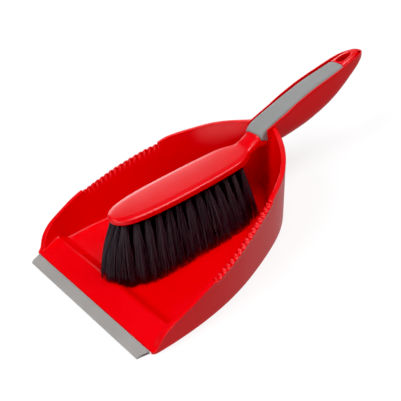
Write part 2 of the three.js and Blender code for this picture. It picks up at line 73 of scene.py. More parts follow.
HANDLE = [[196, 22.8, 64.0, 56.2], [206, 22.0, 63.7, 55.8], [213, 20.3, 63.5, 55.4], [218, 18.0, 63.4, 55.0], [222, 15.9, 63.4, 54.6],
          [225, 14.2, 63.6, 54.3], [227.5, 13.1, 64.1, 54.0], [230, 12.5, 64.9, 53.9], [233, 12.2, 66.1, 54.0], [237, 12.0, 67.6, 54.4],
          [241, 12.0, 69.2, 54.9], [244, 12.2, 70.7, 55.1], [247, 12.7, 73.0, 55.2], [250, 12.9, 75.0, 55.3], [253.5, 13.2, 76.6, 55.2], [257, 13.35, 77.6, 55.1], [261, 13.4, 78.5, 55.0],
          [268, 13.45, 80.1, 55.2], [278, 13.45, 82.0, 55.4], [295, 13.35, 85.2, 56.0],
          [312, 13.15, 88.2, 57.0], [329, 13.0, 90.6, 59.2], [345, 12.8, 92.1, 62.2], [360, 12.5, 93.3, 66.4],
          [374, 11.9, 94.5, 71.8], [386, 11.1, 95.8, 77.4], [396, 9.9, 96.7, 82.4], [404, 8.2, 97.0, 86.6],
          [409, 6.1, 97.0, 89.8], [411.4, 4.7, 96.8, 91.8], [412.6, 2.8, 96.5, 93.2], [413, 0.8, 95.7, 94.5]]
BLOCK = [[58.2, 0.8], [58.6, 3.2], [60.2, 7.6], [63.4, 11.9], [68.5, 15.8], [76, 18.9], [90, 21.7], [110, 23.4], [135, 24.0],
         [160, 24.1], [180, 23.6], [196, 22.8], [206, 22.0], [213, 20.3], [218, 18.2], [222, 15.9], [225, 14.2], [227.5, 13.1],
         [230, 12.5], [233, 12.2], [237, 12.0]]
BLOCK_TOP = [[58, 72.4], [80, 71.3], [128, 68.2], [177, 65.0], [200, 63.8], [222, 63.4], [227.5, 63.9], [233, 65.9], [237, 68.0]]
BLOCK_LOW = [[58, 65.8], [80, 64.4], [128, 60.9], [177, 57.4], [200, 56.0], [222, 54.6], [237, 54.4]]
SPREAD = [[36, 22], [48, 29], [62, 35], [80, 39], [100, 41], [125, 43], [146, 45], [168, 46.5], [188, 45], [206, 40]]


# --------------------------------------------------------------------- helpers
def table(rows, col=1):
    """Monotone cubic through the rows."""
    x = np.array([r[0] for r in rows], float)
    y = np.array([r[col] for r in rows], float)
    d = np.diff(y) / np.diff(x)
    m = np.empty(len(x))
    m[0], m[-1] = d[0], d[-1]
    for i in range(1, len(x) - 1):
        m[i] = 0 if d[i - 1] * d[i] <= 0 else 2 * d[i - 1] * d[i] / (d[i - 1] + d[i])

    def f(t):
        if t <= x[0]:
            return float(y[0])
        if t >= x[-1]:
            return float(y[-1])
        i = int(np.searchsorted(x, t, side="right")) - 1
        h = x[i + 1] - x[i]
        s = (t - x[i]) / h
        s2, s3 = s * s, s * s * s
        return float((2 * s3 - 3 * s2 + 1) * y[i] + (s3 - 2 * s2 + s) * h * m[i] + (-2 * s3 + 3 * s2) * y[i + 1] + (s3 - s2) * h * m[i + 1])
    return f


def clamp(v, a, b):
    return min(b, max(a, v))


def smooth(a, b, v):
    t = clamp((v - a) / (b - a), 0.0, 1.0)
    return t * t * (3 - 2 * t)


def lerp(a, b, t):
    return a + (b - a) * t


def make_object(name, verts, faces):
    """Vertices in millimetres of the tables' frame, faces as index lists."""
    v = np.array(verts, float)
    v = (v + np.array([0, SHIFT_Y, 0])) * MM
    mesh = bpy.data.meshes.new(name)
    mesh.from_pydata([tuple(p) for p in v], [], [tuple(f) for f in faces])
    mesh.update()
    obj = bpy.data.objects.new(name, mesh)
    bpy.context.scene.collection.objects.link(obj)
    return obj


def clean(obj, weld=1e-6):
    """Welds doubles, drops flat faces and points the normals outward."""
    bm = bmesh.new()
    bm.from_mesh(obj.data)
    bmesh.ops.remove_doubles(bm, verts=bm.verts, dist=weld)
    bmesh.ops.dissolve_degenerate(bm, edges=bm.edges, dist=1e-7)
    bmesh.ops.recalc_face_normals(bm, faces=bm.faces)
    vol = bm.calc_volume(signed=True)
    if vol < 0:
        bmesh.ops.reverse_faces(bm, faces=bm.faces)
    open_edges = sum(1 for e in bm.edges if len(e.link_faces) != 2)
    bm.to_mesh(obj.data)
    bm.free()
    obj.data.update()
    if open_edges:
        print("open edges", obj.name, open_edges)
    return obj


def shade(obj, angle=32.0):
    """Smooth faces, with the edges sharper than angle kept crisp."""
    bm = bmesh.new()
    bm.from_mesh(obj.data)
    lim = math.radians(angle)
    for f in bm.faces:
        f.smooth = True
    for e in bm.edges:
        e.smooth = not (len(e.link_faces) == 2 and e.calc_face_angle(0.0) > lim)
    bm.to_mesh(obj.data)
    bm.free()
    obj.data.update()
    return obj


def boolean(obj, other, operation):
    mod = obj.modifiers.new("b", "BOOLEAN")
    mod.operation = operation
    mod.object = other
    for solver in ("MANIFOLD", "EXACT"):
        try:
            mod.solver = solver
        except TypeError:
            continue
        bpy.context.view_layer.update()
        dg = bpy.context.evaluated_depsgraph_get()
        dg.update()
        mesh = bpy.data.meshes.new_from_object(obj.evaluated_get(dg), depsgraph=dg)
        if len(mesh.polygons) > 10 and len(mesh.vertices) != len(obj.data.vertices):
            break
        print("boolean", obj.name, other.name, solver, "did nothing")
    obj.modifiers.remove(mod)
    old = obj.data
    obj.data = mesh
    bpy.data.meshes.remove(old)
    bpy.data.objects.remove(other)
    return obj


def ring_loft(rings, cap=True):
    """Closed loft through rings of one length."""
    n = len(rings[0])
    verts = [p for r in rings for p in r]
    faces = []
    for i in range(len(rings) - 1):
        for j in range(n):
            a, b = i * n + j, i * n + (j + 1) % n
            faces.append([a, a + n, b + n, b])
    if cap:
        faces.append(list(range(n)))
        o = (len(rings) - 1) * n
        faces.append([o + k for k in range(n)][::-1])
    return verts, faces


def spaced(y0, y1, n):
    return list(np.linspace(y0, y1, n))


# ------------------------------------------------------------------- pan shell
ox, oy, rim, inset = table(OUTLINE, 1), table(OUTLINE, 2), table(RIM), table(FLOOR_INSET)


def normal(u):
    if u > 0.999:
        return 0.0, 1.0
    a, b = max(0.0, u - 1e-3), min(1.0, u + 1e-3)
    dx, dy = ox(b) - ox(a), oy(b) - oy(a)
    l = math.hypot(dx, dy)
    nx, ny = dy / l, -dx / l
    if u > 0.8:                        # the rear is a smooth arc across the middle
        nx = min(nx, ox(u) / 24.0)
        ny = math.sqrt(max(0.0, 1 - nx * nx))
    return nx, ny


def floor_raw(y):
    if y <= RIDGE_Y:
        return FLOOR_FRONT_TOP + (RIDGE_TOP - FLOOR_FRONT_TOP) * clamp((y - FRONT_Y) / (RIDGE_Y - FRONT_Y), 0, 1)
    return RIDGE_TOP + (FLOOR_TOP - RIDGE_TOP) * clamp((y - RIDGE_Y) / (RIDGE_FOOT_Y - RIDGE_Y), 0, 1)


def floor_top(y):
    """Ramp, ridge and floor, with the ridge and its foot rounded."""
    if y < 33 or y > 53:
        return floor_raw(y)
    w = 3.2
    return float(np.mean([floor_raw(y + k) for k in np.linspace(-w, w, 15)]))


def at(u, off, z):
    nx, ny = normal(u)
    corner = 2.2 * max(0.0, 1 - u / 0.05) ** 2         # the wall's toe is rounded in plan
    return [max(0.0, ox(u) - corner + nx * off), oy(u) + ny * off, z]


def recess(u):
    """Depth of the toothed stretch below the plain rim."""
    e = 0.0022
    return TOOTH_H * smooth(TEETH_FROM - e, TEETH_FROM + e, u) * (1 - smooth(TEETH_TO - e, TEETH_TO + e, u))


def tooth(u):
    """0 between teeth, 1 on a tooth's top."""
    if u <= TEETH_FROM or u >= TEETH_TO:
        return 0.0
    p = (u - TEETH_FROM) / (TEETH_TO - TEETH_FROM) * TEETH % 1.0
    d = abs(p - 0.5)
    return clamp((0.41 - d) / 0.27, 0.0, 1.0)


def row_us():
    us = []

    def add(a, b, n):
        us.extend(list(np.linspace(a, b, n, endpoint=False)))
    add(T0, 0.05, 14); add(0.05, 0.094, 16); add(0.094, 0.145, 14)

    def u_of(y):
        a, b = 0.1, 0.5
        for _ in range(40):
            m = (a + b) / 2
            if at(m, -inset(oy(m)), 0)[1] < y:
                a = m
            else:
                b = m
        return (a + b) / 2
    last = 0.145
    for y in (33, 34.5, 36, 37, 38, 38.7, 39.4, 40.2, 41.2, 42.4, 43.6, 44.8, 45.8, 46.6, 47.4, 48.2, 49.2, 50.4, 52):
        u = u_of(y)
        if u > last + 1e-4:
            us.append(u)
            last = u
    add(last + 0.004, TEETH_FROM - 0.0024, 22)
    e = 0.0022
    us.extend([TEETH_FROM - e, TEETH_FROM - e / 2, TEETH_FROM, TEETH_FROM + e / 2])
    p = (TEETH_TO - TEETH_FROM) / TEETH
    for k in range(TEETH):
        for q in (0.085, 0.095, 0.18, 0.27, 0.355, 0.365, 0.5, 0.635, 0.645, 0.73, 0.82, 0.905, 0.915, 1.0):
            us.append(TEETH_FROM + p * (k + q))
    us = [u for u in us if u < TEETH_TO - e * 0.6]
    us.extend([TEETH_TO - e / 2, TEETH_TO, TEETH_TO + e / 2, TEETH_TO + e])
    add(TEETH_TO + 2 * e, 0.86, 44)
    add(0.86, 0.999, 30)
    us.append(1.0)
    us = sorted(set(round(u, 7) for u in us))
    return us


def profile(u):
    """Upper half section from the rim's outer edge to the middle, and the lower one, as points."""
    first = u <= T0 + 1e-9
    h = rim(u)
    lean, rec, to = WALL_DRAFT * h, recess(u), tooth(u)
    ins = inset(oy(u))
    foot = at(u, -ins, 0)
    yf = FRONT_Y if first else foot[1]
    zf = floor_top(yf)
    low = max(0.0, zf - FLOOR_SHEET)
    flange = min(FLANGE + 2.4 * (1 - smooth(0.09, 0.25, u)), ins + lean - 0.3)

    def top(q):           # rim's upper face: q 0 at its inner edge, 1 at its outer
        return h - rec + to * rec * lerp(1.0, 0.34, min(1.0, q / 0.66)) - 0.10 * (abs(2 * q - 1) ** 2.5)
    r_in, r_out = 0.6, 0.5
    up = []
    hi = top(1.0)
    thin = clamp((h - 3.0) / 6.0, 0.12, 1.0)
    # rim: outer edge, crowned top, inner edge
    for k in range(5):
        t = math.pi / 2 * k / 4
        up.append(at(u, lean - r_out * (1 - math.cos(t)), hi - r_out * thin * (1 - math.sin(t))))
    for q in (0.85, 0.66, 0.44, 0.22):
        up.append(at(u, lean - flange * (1 - q), top(q)))
    hi2 = top(0.0)
    for k in range(5):
        t = math.pi / 2 * k / 4
        up.append(at(u, lean - flange + r_in * (1 - math.sin(t)), hi2 - r_in * thin * (1 - math.cos(t))))
    # inner wall, straight down to a fillet at its foot
    a = np.array([lean - flange, hi2 - r_in * thin])
    a0 = np.array([lean - flange, h - r_in * thin])
    drop = min(TOOTH_H + 2.0, 0.3 * (h - zf))
    b = np.array([-ins, zf])
    d1 = a0 - b
    L = float(np.hypot(*d1))
    d1 = d1 / L
    rf = min(4.2, 0.36 * L)
    ang = math.acos(clamp(-d1[0], -1, 1))          # between the floor, running inward, and the wall
    tan_len = min(rf / math.tan(ang / 2), 0.45 * L, ins * 0.0 + 6.0)
    p1 = b + d1 * tan_len
    p2 = b + np.array([-1.0, 0.0]) * tan_len
    lvl = b + d1 * (L - drop)
    up.append(at(u, a[0] * 0.5 + lvl[0] * 0.5, (a[1] + lvl[1]) / 2))
    for s in (0.0, 0.12, 0.26, 0.42, 0.58, 0.74, 0.88, 1.0):
        p = lvl * (1 - s) + p1 * s
        up.append(at(u, p[0], max(p[1], zf + 0.02)))
    for k in range(1, 7):
        t = k / 6
        p = p1 * (1 - t) ** 2 + b * 2 * t * (1 - t) + p2 * t * t
        q = at(u, p[0], p[1])
        up.append(q)
    edge = list(up[-1])
    edge[1] = lerp(edge[1], yf, 0.6)
    if first:
        edge = [101.0, yf, zf]
        for i in range(14, len(up)):
            s = (i - 13) / (len(up) - 1 - 13)
            up[i] = [lerp(up[13][0], 101.0, s), lerp(up[13][1], yf, s), lerp(up[13][2], zf, s)]
    up[-1] = edge
    n_floor = 12
    for k in range(1, n_floor + 1):
        q = 1 - k / n_floor
        up.append([edge[0] * q, lerp(edge[1], yf, min(1, k / 3)), zf if k > 0 else edge[2]])
    # skirt outside, its lower edge, inside, and up into the hollow between the two walls
    lo = []
    z1 = hi - r_out * thin
    for s in (0.03, 0.12, 0.25, 0.38, 0.5, 0.62, 0.75, 0.87, 0.95):
        z = z1 * (1 - s) + 0.5 * s
        lo.append(at(u, lean * z / h, max(z, 0.5)))
    lo.append(at(u, -0.15, 0.15))
    lo.append(at(u, -0.6, 0.0))
    lo.append(at(u, -SKIRT, 0.0))
    zc = max(h - rec - FLANGE_SHEET, low + 0.4)

    def wall(z):
        return lerp(-ins, lean - flange, clamp((z - zf) / max(h - zf, 0.3), 0, 1))
    for s in (0.33, 0.66, 1.0):
        lo.append(at(u, lean * zc * s / h - SKIRT, zc * s))
    for s in (1.0, 0.66, 0.33):
        z = low + (zc - low) * s
        lo.append(at(u, wall(z) + SHEET, z))
    lo.append(at(u, -ins + 1.2, low + 0.5))
    e2 = at(u, -ins + 0.2, low)
    if first:
        for i in range(12, len(lo)):
            lo[i][1] = max(lo[i][1], yf)
        e2 = [101.0, yf, low]
        e3 = lo[-1]
        e3[0], e3[1] = 103.0, yf + 0.2
    lo.append([e2[0], e2[1], low])
    for k in range(1, n_floor + 1):
        q = 1 - k / n_floor
        lo.append([e2[0] * q, lerp(e2[1], yf, min(1, k / 3)), low])
    return up, lo


def pan_shell():
    us = row_us()
    rows = [profile(u) for u in us]
    U, L = [r[0] for r in rows], [r[1] for r in rows]
    nu, nl, m = len(U[0]), len(L[0]), len(us)
    verts = [p for r in U for p in r] + [p for r in L for p in r]
    o = m * nu

    def a(i, j):
        return i * nu + j

    def b(i, j):             # lower grid; its column -1 is the upper grid's first
        return a(i, 0) if j < 0 else o + i * nl + j
    faces = []
    for i in range(m - 1):
        for j in range(nu - 1):
            faces.append([a(i, j), a(i, j + 1), a(i + 1, j + 1), a(i + 1, j)])
        for j in range(-1, nl - 1):
            faces.append([b(i, j), b(i + 1, j), b(i + 1, j + 1), b(i, j + 1)])
    front_up = [a(0, j) for j in range(nu)]
    front_lo = [b(0, j) for j in range(nl)]
    # front face, in strips
    iu, il = 0, -1
    ul = [a(0, j) for j in range(nu)]
    ll = [b(0, j) for j in range(-1, nl)]
    P = np.array(verts)

    def arc(ids):
        s = np.r_[0, np.cumsum(np.linalg.norm(np.diff(P[ids], axis=0), axis=1))]
        return s / s[-1]
    su, sl = arc(ul), arc(ll)
    i = j = 0
    while i < len(ul) - 1 or j < len(ll) - 1:
        if j >= len(ll) - 1 or (i < len(ul) - 1 and su[i + 1] <= sl[j + 1]):
            if ul[i] != ll[j]:
                faces.append([ul[i], ul[i + 1], ll[j]])
            else:
                faces.append([ul[i], ul[i + 1], ll[j + 1]]) if j + 1 < len(ll) and False else None
            i += 1
        else:
            if ul[i] != ll[j]:
                faces.append([ul[i], ll[j + 1], ll[j]])
            j += 1
    # mirror
    n = len(verts)
    mv = [[-p[0], p[1], p[2]] for p in verts]
    mf = [[n + k for k in f][::-1] for f in faces]
    obj = make_object("pan_shell", verts + mv, faces + mf)
    return clean(obj, 2e-6)


def section_u(y, w, top, bottom, n=15):
    """U section of the pan handle: down one side, round the bottom, up the other."""
    d = min(top - bottom, 34)
    r = min(w, d * 0.62)
    pts = [[w, y, top - 0.001]]
    for k in (0.25, 0.5, 0.75):
        pts.append([lerp(w, w * 0.985, k), y, lerp(top, bottom + r, k)])
    for k in range(n):
        t = math.pi * k / (n - 1)
        c, s, e = math.cos(t), math.sin(t), 0.72
        pts.append([w * 0.985 * math.copysign(abs(c) ** e, c) if abs(c) > 1e-9 else 0.0, y, bottom + r * (1 - max(s, 0) ** e)])
    for k in (0.75, 0.5, 0.25):
        pts.append([-lerp(w, w * 0.985, k), y, lerp(top, bottom + r, k)])
    pts.append([-w, y, top - 0.001])
    return pts


cw, ct, cb = table(CHANNEL, 1), table(CHANNEL, 2), table(CHANNEL, 3)


def channel_sheet():
    """The pan handle: one sheet, folded to a boat, with a rounded rim."""
    ys = spaced(256, 400, 60) + spaced(402, 413, 9) + [414.2, 415.2, 416.1, 416.8, 417.2, 417.5]
    rings = []
    n = 21
    for y in ys:
        back = smooth(385, 417.5, y)
        yi = y - 3.3 * back - 0.0
        bend = 4.2 * (1 - smooth(256, 290, y))     # the first sections follow the pan's curved wall
        w, t, b = cw(y), ct(y), cb(y)
        outer = section_u(y, w, t - 0.8, b, n)
        wi, ti, bi = max(cw(yi) - CHANNEL_WALL, 0.35), ct(yi), cb(yi) + CHANNEL_WALL + 0.2
        if wi < 0.6:
            bi = min(bi, ti - 1.4)
        bi = min(bi, ti - 1.6)
        inner = section_u(yi, wi, ti - 0.8, bi, n)[::-1]
        wall = max((w - wi) / 2, 0.2)

        def lip(side):
            out = []
            for k in range(1, 6):
                ph = math.pi * k / 6
                x = (w + wi) / 2 + (w - wi) / 2 * math.cos(ph)
                yy = lerp(y, yi, k / 6)
                out.append([side * x, yy, lerp(t, ti, k / 6) - 0.8 + min(0.8, wall) * math.sin(ph)])
            return out
        ring = outer + lip(-1) + inner + lip(1)[::-1]
        for p in ring:
            p[1] -= bend * (p[0] / 15.7) ** 2
        rings.append(ring)
    # ring order: outer right -> bottom -> left, left lip, inner left -> bottom -> right, right lip back to the start
    m = len(rings[0])
    verts = [p for r in rings for p in r]
    faces = []
    for i in range(len(rings) - 1):
        for j in range(m):
            a, b = i * m + j, i * m + (j + 1) % m
            faces.append([a, a + m, b + m, b])
    no = len(section_u(0, 10, 10, 0, n))
    o = (len(rings) - 1) * m
    # start cap: a strip between the outer and the inner path
    def strip(off, flip):
        fs = []
        for k in range(no - 1):
            a, b = off + k, off + k + 1
            c, d = off + no + 5 + (no - 1 - k), off + no + 5 + (no - 2 - k)
            fs.append([a, b, d, c] if not flip else [c, d, b, a])
        left = [off + no - 1] + [off + no + q for q in range(5)] + [off + no + 5]
        right = [off + no + 5 + no - 1] + [off + 2 * no + 5 + q for q in range(5)] + [off]
        fs.append(left if not flip else left[::-1])
        fs.append(right if not flip else right[::-1])
        return fs
    faces += strip(0, False)
    # end: outer nose, inner nose and the rim's front between them
    outer_cap = [o + k for k in range(no)]
    inner_cap = [o + no + 5 + k for k in range(no)]
    rimf = [o + no - 1] + [o + no + q for q in range(5)] + [o + no + 5] + [o + no + 5 + no - 1] + [o + 2 * no + 5 + q for q in range(5)] + [o]
    faces += [outer_cap, inner_cap, rimf]
    return clean(make_object("channel", verts, faces), 1e-7)


def passage():
    """Everything above the handle's trough, where the brush handle passes the pan's rear wall."""
    rings = []
    for y in spaced(246.5, 262, 10) + spaced(264, 290, 10):
        yy = max(y, 256)
        w = cw(yy) - CHANNEL_WALL
        bottom = cb(yy) + CHANNEL_WALL + 0.2
        pts = section_u(y, w, 100.0, bottom, 21)
        d = min(ct(yy) - bottom, 34)
        r = min(w, d * 0.62)
        pts = [[w, y, 130.0]]
        for k in range(21):
            t = math.pi * k / 20
            c, s, e = math.cos(t), math.sin(t), 0.72
            pts.append([w * math.copysign(abs(c) ** e, c) if abs(c) > 1e-9 else 0.0, y, bottom + r * (1 - max(s, 0) ** e)])
        pts.append([-w, y, 130.0])
        rings.append(pts)
    v, f = ring_loft(rings)
    return clean(make_object("passage", v, f))


def box_object(name, x0, x1, y0, y1, z0, z1):
    v = [[x, y, z] for x in (x0, x1) for y in (y0, y1) for z in (z0, z1)]
    f = [[0, 1, 3, 2], [4, 6, 7, 5], [0, 4, 5, 1], [2, 3, 7, 6], [0, 2, 6, 4], [1, 5, 7, 3]]
    return clean(make_object(name, v, f))


def build_pan():
    pan = pan_shell()
    pan = boolean(pan, passage(), "DIFFERENCE")
    pan = boolean(pan, channel_sheet(), "UNION")
    pan = boolean(pan, box_object("tongue", -TONGUE_HALF, TONGUE_HALF, TONGUE_FRONT, FRONT_Y + 1.2, TONGUE_LOW, TONGUE_HIGH), "UNION")
    pan.name = "pan_shell"
    clean(pan, 1e-7)
    return shade(pan, 34)


# ------------------------------------------------------------------ rubber lip
def build_lip():
    g = 0.3
    prof = [[0.35, 0.0], [3, 0.0], [7, 0.0], [LIP_DEPTH - 0.3, 0.0], [LIP_DEPTH, 0.25], [LIP_DEPTH, TONGUE_LOW - g],
            [TONGUE_FRONT - g, TONGUE_LOW - g], [TONGUE_FRONT - g, TONGUE_HIGH + g], [LIP_DEPTH, TONGUE_HIGH + g],
            [LIP_DEPTH, 2.75], [LIP_DEPTH - 0.12, 3.02], [LIP_DEPTH - 0.45, LIP_THICK], [LIP_DEPTH - 0.9, LIP_THICK],
            [LIP_DEPTH - 1.15, LIP_THICK - 0.1], [LIP_DEPTH - 1.4, LIP_THICK - 0.22], [LIP_DEPTH - 1.7, LIP_THICK - 0.24],
            [9, 2.92], [7, 2.88], [5, 2.8], [3.2, 2.68], [2.6, 2.6], [2.2, 2.44], [1.6, 2.02], [0.9, 1.5], [0.3, 1.08],
            [0.06, 0.8], [0.0, 0.5], [0.08, 0.2]]
    ss = [-1, -0.9975, -0.99] + list(np.linspace(-0.96, 0.96, 25)) + [0.99, 0.9975, 1]
    rings = []
    for s in ss:
        edge = smooth(0.9965, 1.0, abs(s))
        ring = []
        for y, z in prof:
            half = lerp(LIP_FRONT_HALF, LIP_REAR_HALF, y / LIP_DEPTH)
            zz = z if z < 0.9 or (TONGUE_LOW - g <= z <= TONGUE_HIGH + g and y > 5) else z - 0.35 * edge
            ring.append([s * half, y, zz])
        rings.append(ring)
    v, f = ring_loft(rings)
    return shade(clean(make_object("lip_blade", v, f)), 28)


# ----------------------------------------------------------------- brush body
hw, ht, hb = table(HANDLE, 1), table(HANDLE, 2), table(HANDLE, 3)
bw, bt, bl = table(BLOCK), table(BLOCK_TOP), table(BLOCK_LOW)
ANG = np.concatenate([np.linspace(-90, -50, 9), np.linspace(-47, -34, 5), np.linspace(-24, 24, 9), np.linspace(31, 58, 10), np.linspace(61, 90, 10)])


def handle_half(y, e=None):
    """Half section of the handle, bottom middle to top middle."""
    e = handle_e(y) if e is None else e
    w, top, low = hw(y), ht(y), hb(y)
    c, h = (top + low) / 2, (top - low) / 2
    out = []
    for a in np.radians(ANG):
        ca, sa = math.cos(a), math.sin(a)
        out.append([w * abs(ca) ** e if abs(ca) > 1e-6 else 0.0, c + h * math.copysign(abs(sa) ** e, sa)])
    return out


def handle_e(y):
    if y < 250:
        return lerp(0.80, 0.40, smooth(240, 250, y))
    return lerp(0.40, 0.58, smooth(335, 386, y))


NOSE_R = 3.0


def block_half(y):
    w, t, l = bw(y), bt(y), bl(y)
    s = y - 58.2
    if s < NOSE_R:                      # the nose's upper edge is rounded too
        t -= NOSE_R - math.sqrt(max(0.0, NOSE_R ** 2 - (NOSE_R - s) ** 2))
        l += 0.7 * (1 - s / NOSE_R) ** 2
    r = min(3.9, w * 0.6)
    rl = min(0.9, w * 0.3)
    crown = CROWN * clamp(w / 20, 0.05, 1.0)
    draft = min(0.25, w * 0.1)
    out = [[(w - rl) * k / 8, l] for k in range(9)]
    for k in range(5):
        a = math.pi / 2 * (k + 0.5) / 5
        out.append([w - rl + rl * math.sin(a), l + rl * (1 - math.cos(a))])
    z0, z1 = l + rl * 1.1, t - r * 0.95
    z1 = max(z1, z0 + 0.1)
    for k in range(9):
        out.append([w - draft * smooth(0, 1, k / 8), lerp(z0, z1, k / 8)])
    bev = min(4.2, w * 0.3)             # rounded shoulder, then a gentle bevel to the flat top
    ts = t - bev * 0.25
    for k in range(10):
        a = math.radians(68) * (k + 1) / 10
        out.append([w - draft - r + r * math.cos(a), z1 + (ts - z1) * math.sin(a)])
    x0, zt = out[-1]
    for q in (0.06, 0.5, 0.94, 1.12):
        out.append([x0 - bev * q, zt + bev * 0.25 * min(q, 1)])
    x0, zt = out[-1]
    for k in range(6):
        q = 1 - (k + 1) / 6
        out.append([x0 * q, zt + crown * (1 - q * q)])
    return out


def body_ring(y, extra=None):
    k = smooth(221, 235, y)
    if y < 221:
        half = block_half(y)
    elif k >= 1:
        half = handle_half(y)
    else:
        A, B = block_half(y), handle_half(y)
        w = hw(y)
        half = []
        for p, q in zip(A, B):
            half.append([lerp(p[0] / max(bw(y), 1e-6) * w, q[0], k), lerp(p[1], q[1], k)])
    right = [[x, y, z] for x, z in half]
    left = [[-x, y, z] for x, z in half[::-1]]
    ring = right + left[1:-1]
    if extra:
        ring = [extra(p) for p in ring]
    return ring


def under_z(y):
    """Height above which the soft grip covers the handle's sides."""
    pts = [[244, 65.5], [247, 63.6], [251, 61.8], [256, 60.4], [262, 60.0], [270, 61.4], [280, 64.6], [300, 70], [340, 77], [379, 84.5]]
    return float(np.interp(y, [p[0] for p in pts], [p[1] for p in pts]))


def grip_share(p):
    """1 where the grip covers the handle, 0 where the handle's own plastic shows, with a narrow step between."""
    x, y, z = p
    s = clamp((y - GRIP_FROM) / 0.9 + 0.5, 0, 1) * clamp((GRIP_TO - 0.10 * x * 0 - y) / 0.8 + 0.5, 0, 1)
    return s * clamp((z - under_z(y)) / 1.1 + 0.5, 0, 1)


def shrink(p, amount, y):
    """Moves a section's point towards the section's middle."""
    c = (ht(y) + hb(y)) / 2
    h, w = max((ht(y) - hb(y)) / 2, 0.5), max(hw(y), 0.5)
    gx, gz = (p[0] / w) * abs(p[0] / w) ** 1.2 / w, ((p[2] - c) / h) * abs((p[2] - c) / h) ** 1.2 / h
    l = math.hypot(gx, gz)
    if l < 1e-9:
        return list(p)
    return [p[0] - gx / l * amount, p[1], p[2] - gz / l * amount]


def build_brush_body():
    ys = [58.2, 58.3, 58.45, 58.7, 59.0, 59.4, 59.9, 60.5, 61.2, 62.0, 63.0, 64.2, 65.6, 67.2, 69, 71, 73.5, 76]
    ys += spaced(80, 196, 30) + spaced(198, 212, 10) + spaced(213, 235, 34) + spaced(236, 242.5, 8)
    ys = [y for y in ys if y < 243] + [243.4, 244.2, 244.6, 244.9, 245.2, 245.5, 246, 247, 248.5, 250] + spaced(252, 376, 62)
    ys += [377, 377.5, 377.75, 378.0, 378.25, 378.5, 378.8, 379.4] + spaced(380.5, 404, 26) + spaced(405, 410, 6) + [411, 411.7, 412.2, 412.6, 412.85, 413.0]

    def core(p):
        g = grip_share([p[0], p[1] - 0.28, p[2]]) if p[1] > 300 else grip_share([p[0], p[1] + 0.28, p[2]])
        return shrink(p, GRIP_SKIN * g, p[1]) if g > 0 else p
    rings = [body_ring(y, core) for y in ys]
    v, f = ring_loft(rings)
    body = clean(make_object("brush_body", v, f))
    # hanging hole with rounded edges
    L, mid = (HOLE_TO - HOLE_FROM) / 2, (HOLE_FROM + HOLE_TO) / 2
    n, R = 48, 1.3

    def surface(x, y, up):
        w, top, low, e = hw(y), ht(y), hb(y), handle_e(y)
        c, h = (top + low) / 2, (top - low) / 2
        q = clamp(abs(x) / w, 0, 0.999)
        return c + (h if up else -h) * (1 - q ** (2 / e)) ** (e / 2)
    levels = [("u", -0.0, R + 0.9, 2.5)] + [("u", d, None, 0) for d in (0.02, 0.12, 0.3, 0.6, 0.95, 1.3)] + \
             [("d", d, None, 0) for d in (1.3, 0.95, 0.6, 0.3, 0.12, 0.02)] + [("d", -0.0, R + 0.9, 2.5)]
    rings = []
    for side, d, grow, lift in levels:
        ring = []
        for k in range(n):
            t = 2 * math.pi * k / n
            q, s = math.cos(t), math.sin(t)
            g = grow if grow is not None else R - math.sqrt(max(0.0, R * R - (R - d) ** 2))
            x0, y0 = (HOLE_HALF - 0.5) * (1 - 0.2 * q) * s, mid + (L - 0.5) * q
            l = math.hypot(s / HOLE_HALF, q / L)
            nx, ny = s / HOLE_HALF / l, q / L / l
            x, y = x0 + nx * g, y0 + ny * g
            z = surface(x0 + nx * min(g, R), y0 + ny * min(g, R), side == "u")
            z += -d if side == "u" else d
            z += lift if side == "u" else -lift
            ring.append([x, y, z])
        rings.append(ring)
    v, f = ring_loft(rings)
    body = boolean(body, clean(make_object("hole", v, f)), "DIFFERENCE")
    body.name = "brush_body"
    clean(body, 1e-7)
    return shade(body, 38)


def build_grip():
    ys = [244.55, 244.7, 244.9, 245.1, 245.4, 245.8, 246.3] + spaced(247, 262, 20) + spaced(263, 276, 18) + spaced(278, 374, 56)
    ys += [375.5, 376.6, 377.2, 377.5, 377.7, 377.85, 378.0, 378.15]
    angs = np.linspace(-90, 90, 91)
    rings = []
    for y in ys:
        e = handle_e(y)
        w, top, low = hw(y), ht(y), hb(y)
        c, h = (top + low) / 2, (top - low) / 2
        half = []
        for a in np.radians(angs):
            ca, sa = math.cos(a), math.sin(a)
            half.append([w * abs(ca) ** e if abs(ca) > 1e-6 else 0.0, y, c + h * math.copysign(abs(sa) ** e, sa)])
        ring = half + [[-p[0], p[1], p[2]] for p in half[::-1]][1:-1]
        out = []
        for p in ring:
            g = grip_share(p)
            g = g * g * (3 - 2 * g) if g < 0.9 else g
            out.append(shrink(p, 2.8 * (1 - g) - 0.06 * g, y))
        rings.append(out)
    v, f = ring_loft(rings)
    return shade(clean(make_object("grip_skin", v, f)), 40)


# -------------------------------------------------------------------- bristles
spread = table(SPREAD)


def tuft_specs():
    out = []
    for c in range(TUFT_COLS):
        for r in range(4):
            s = c / (TUFT_COLS - 1)
            y, ty = lerp(TUFT_Y0, TUFT_Y1, s), lerp(SPREAD_Y0, SPREAD_Y1, s)
            half = min(table(BLOCK)(y) - 3.6, 19)
            band = spread(ty) / 2
            out.append(dict(c=c, r=r, x=half * TUFT_ROWS[r], y=y, tx=(r - 1.5) * band, ty=ty, hx=band / 2 - 0.35,
                            hy=(SPREAD_Y1 - SPREAD_Y0) / (TUFT_COLS - 1) / 2 - 0.35))
    return out


def tip_height(y):
    return max(floor_top(y), floor_top(y + 1.0), floor_top(y - 1.0)) + 0.4


